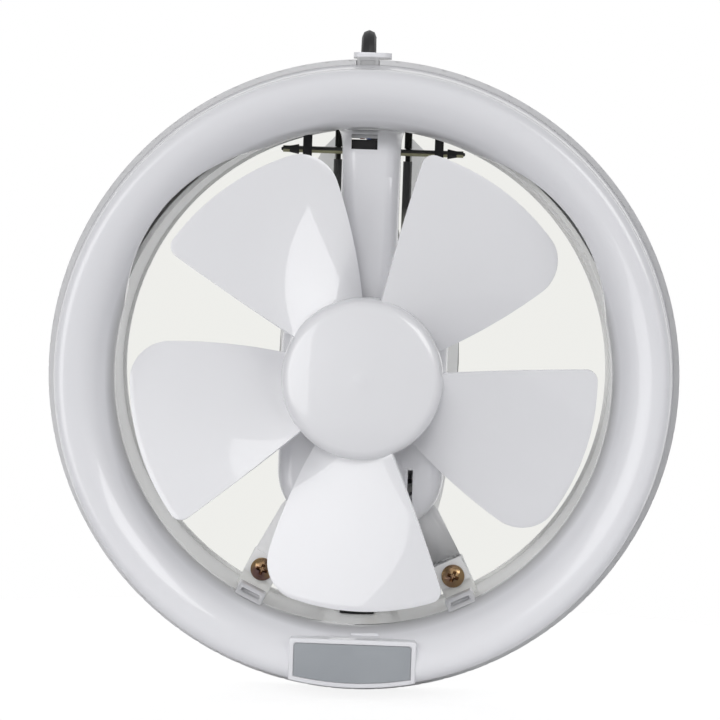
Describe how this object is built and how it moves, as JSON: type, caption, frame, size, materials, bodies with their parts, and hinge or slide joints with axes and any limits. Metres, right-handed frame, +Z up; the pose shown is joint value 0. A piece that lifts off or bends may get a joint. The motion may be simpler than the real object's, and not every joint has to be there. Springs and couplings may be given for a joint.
{
  "type": "wall exhaust fan",
  "caption": "Round exhaust fan for a wall hole: bell-mouth ring, bladed hub on an arm-held motor, sleeve with a two-flap back-draught shutter, and a cord with a plug.",
  "frame": {"origin": "on the fan's axis in the plane of the wall, where the plate of the mounting ring rests", "axes": "+Y along the axis from the room into the duct, +Z up, +X to the right seen from the room"},
  "size_m": [0.276, 0.1821, 0.2893],
  "materials": {
    "white_plastic": "glossy white moulded plastic with a faint lavender tint",
    "ring_plastic": "white moulded plastic, a little less glossy",
    "leg_steel": "grey painted steel strap",
    "zinc_yellow": "steel with yellow zinc plating",
    "zinc": "bright zinc plating",
    "steel": "bare ground steel",
    "core_steel": "stacked electrical steel",
    "aluminium": "die cast aluminium",
    "bronze": "sintered bronze",
    "brass": "bright brass",
    "coil_tape": "amber tape over the winding",
    "nylon": "natural nylon",
    "black_plastic": "black plastic",
    "black_rubber": "black flexible cord sheath",
    "silver_foil": "silver grey printed plate, left bare",
    "wire_brown": "brown wire insulation",
    "wire_blue": "blue wire insulation"
  },
  "bodies": {
    "frame": {"coil_bobbin": "nylon", "coil_winding": "coil_tape", "cord_boot": "black_rubber", "cord_grommet": "white_plastic", "cord_hank": "black_rubber", "cord_lead": "black_rubber", "cord_tail": "black_rubber", "cord_tie": "black_rubber", "cover_screw_1": "zinc", "cover_screw_2": "zinc", "cover_screw_3": "zinc", "cover_screw_4": "zinc", "front_bearing_bracket": "aluminium", "front_bush": "bronze", "front_ring": "white_plastic", "hinge_post_left": "steel", "hinge_post_right": "steel", "left_foot_screw": "zinc_yellow", "left_leg": "leg_steel", "motor_cover": "white_plastic", "motor_screw_left": "zinc", "motor_screw_right": "zinc", "motor_wire_left": "wire_brown", "motor_wire_right": "wire_blue", "mounting_ring": "ring_plastic", "nameplate": "silver_foil", "plug_body": "black_rubber", "plug_pin_left": "brass", "plug_pin_right": "brass", "rear_bearing_bracket": "aluminium", "rear_bush": "bronze", "right_foot_screw": "zinc_yellow", "right_leg": "leg_steel", "rod_cap_left": "black_rubber", "rod_cap_right": "black_rubber", "rod_clip_left": "black_plastic", "rod_clip_right": "black_plastic", "sleeve_bumper": "black_rubber", "stator_core": "core_steel", "stop_rod": "zinc_yellow", "supply_wire_left": "wire_brown", "supply_wire_right": "wire_blue", "terminal_block": "black_plastic"},
    "rotor": {"impeller": "white_plastic", "hub_clip": "steel", "rotor_core": "core_steel", "rotor_shaft": "steel"},
    "left_flap": {"shutter_flap_left": "ring_plastic"},
    "right_flap": {"shutter_flap_right": "ring_plastic"}
  },
  "joints": [
    {"name": "rotor_spin", "type": "hinge", "parent": "frame", "child": "rotor", "pos_m": [0, 0, 0], "axis": [0, 1, 0], "continuous": true},
    {"name": "left_flap_hinge", "type": "hinge", "parent": "frame", "child": "left_flap", "pos_m": [-0.0157, 0.0455, 0], "axis": [0, 0, 1], "range_deg": [0, 73]},
    {"name": "right_flap_hinge", "type": "hinge", "parent": "frame", "child": "right_flap", "pos_m": [0.0157, 0.0455, 0], "axis": [0, 0, -1], "range_deg": [0, 73]}
  ]
}
